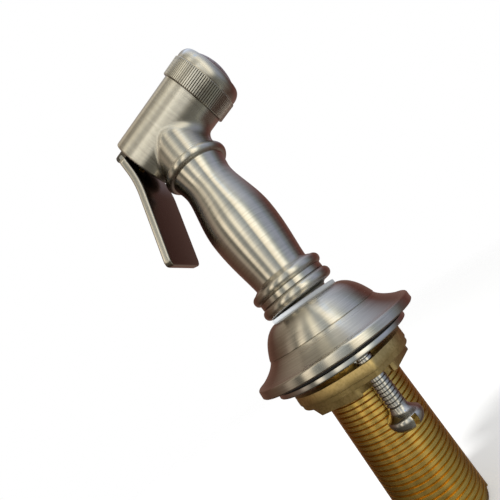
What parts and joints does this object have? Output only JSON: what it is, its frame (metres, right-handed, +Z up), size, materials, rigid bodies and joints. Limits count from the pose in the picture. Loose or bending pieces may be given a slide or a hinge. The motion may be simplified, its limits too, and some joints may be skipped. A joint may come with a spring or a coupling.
{
  "type": "deck-mounted hand sprayer",
  "caption": "Hand sprayer with squeeze lever and turning nozzle cap, standing in a bell-shaped deck holder with threaded shank and lock nut.",
  "frame": {"origin": "on the shank's axis, in the deck plane, which is the underside of the rim", "axes": "+Z up along the shank, +X towards the side the spray points to, lever on the -X side"},
  "size_m": [0.0685, 0.0668, 0.203],
  "materials": {
    "brushed_nickel": "brushed nickel plate over brass, satin",
    "lever_nickel": "brushed nickel plate, darker inside",
    "face_nickel": "satin nickel disc with small holes",
    "shank_brass": "turned raw brass",
    "nut_brass": "cast and turned brass, slightly dull",
    "polished_steel": "polished stainless steel",
    "zinc_steel": "bright plated steel",
    "bush_plastic": "pale moulded acetal",
    "white_plastic": "moulded plastic",
    "black_rubber": "moulded black rubber"
  },
  "bodies": {
    "holder": {"escutcheon_base": "brushed_nickel", "escutcheon_top": "brushed_nickel", "shank": "shank_brass", "ring_nut": "shank_brass", "base_gasket": "black_rubber"},
    "guide": {"guide_bush": "bush_plastic"},
    "clamp": {"clamp_washer": "polished_steel", "lock_nut": "nut_brass"},
    "screws": {"jack_screws": "zinc_steel"},
    "handset": {"hose_coupling": "brushed_nickel", "inlet_washer": "black_rubber", "filter_screen": "zinc_steel", "handle_sleeve": "brushed_nickel", "water_tube": "shank_brass", "tube_seals": "black_rubber", "head_body": "brushed_nickel", "rear_bonnet": "lever_nickel", "stem_seals": "black_rubber", "valve_seat": "shank_brass", "flow_disc": "white_plastic", "lever_pin": "polished_steel"},
    "lever": {"lever": "lever_nickel"},
    "valve": {"valve_stem": "shank_brass", "seat_washer": "black_rubber", "valve_spring": "zinc_steel"},
    "nozzle": {"nozzle_cap": "brushed_nickel", "face_gasket": "black_rubber", "spray_face": "face_nickel"}
  },
  "joints": [
    {"name": "handset_swivel", "type": "hinge", "parent": "holder", "child": "guide", "pos_m": [0, 0, 0.02155], "axis": [0, 0, 1], "continuous": true},
    {"name": "handset_lift", "type": "slide", "parent": "guide", "child": "handset", "axis": [0, 0, 1], "range_m": [0, 0.06]},
    {"name": "lever_squeeze", "type": "hinge", "parent": "handset", "child": "lever", "pos_m": [-0.02756, 0, 0.11663], "axis": [0, -1, 0], "range_deg": [0, 8], "stiffness_Nm_per_rad": 0.35, "springref_deg": -14.32},
    {"name": "valve_travel", "type": "slide", "parent": "handset", "child": "valve", "axis": [0.9692, 0, 0.2462], "range_m": [0, 0.00083]},
    {"name": "nozzle_turn", "type": "hinge", "parent": "handset", "child": "nozzle", "pos_m": [-0.00575, 0, 0.11557], "axis": [0.9692, 0, 0.2462], "range_deg": [0, 360]},
    {"name": "nut_travel", "type": "slide", "parent": "holder", "child": "clamp", "axis": [0, 0, -1], "range_m": [0, 0.035]},
    {"name": "screw_travel", "type": "slide", "parent": "clamp", "child": "screws", "axis": [0, 0, -1], "range_m": [0, 0.01]}
  ],
  "couplings": [
    {"joint": "valve_travel", "follows": "lever_squeeze", "m_per_rad": 0.00589}
  ]
}
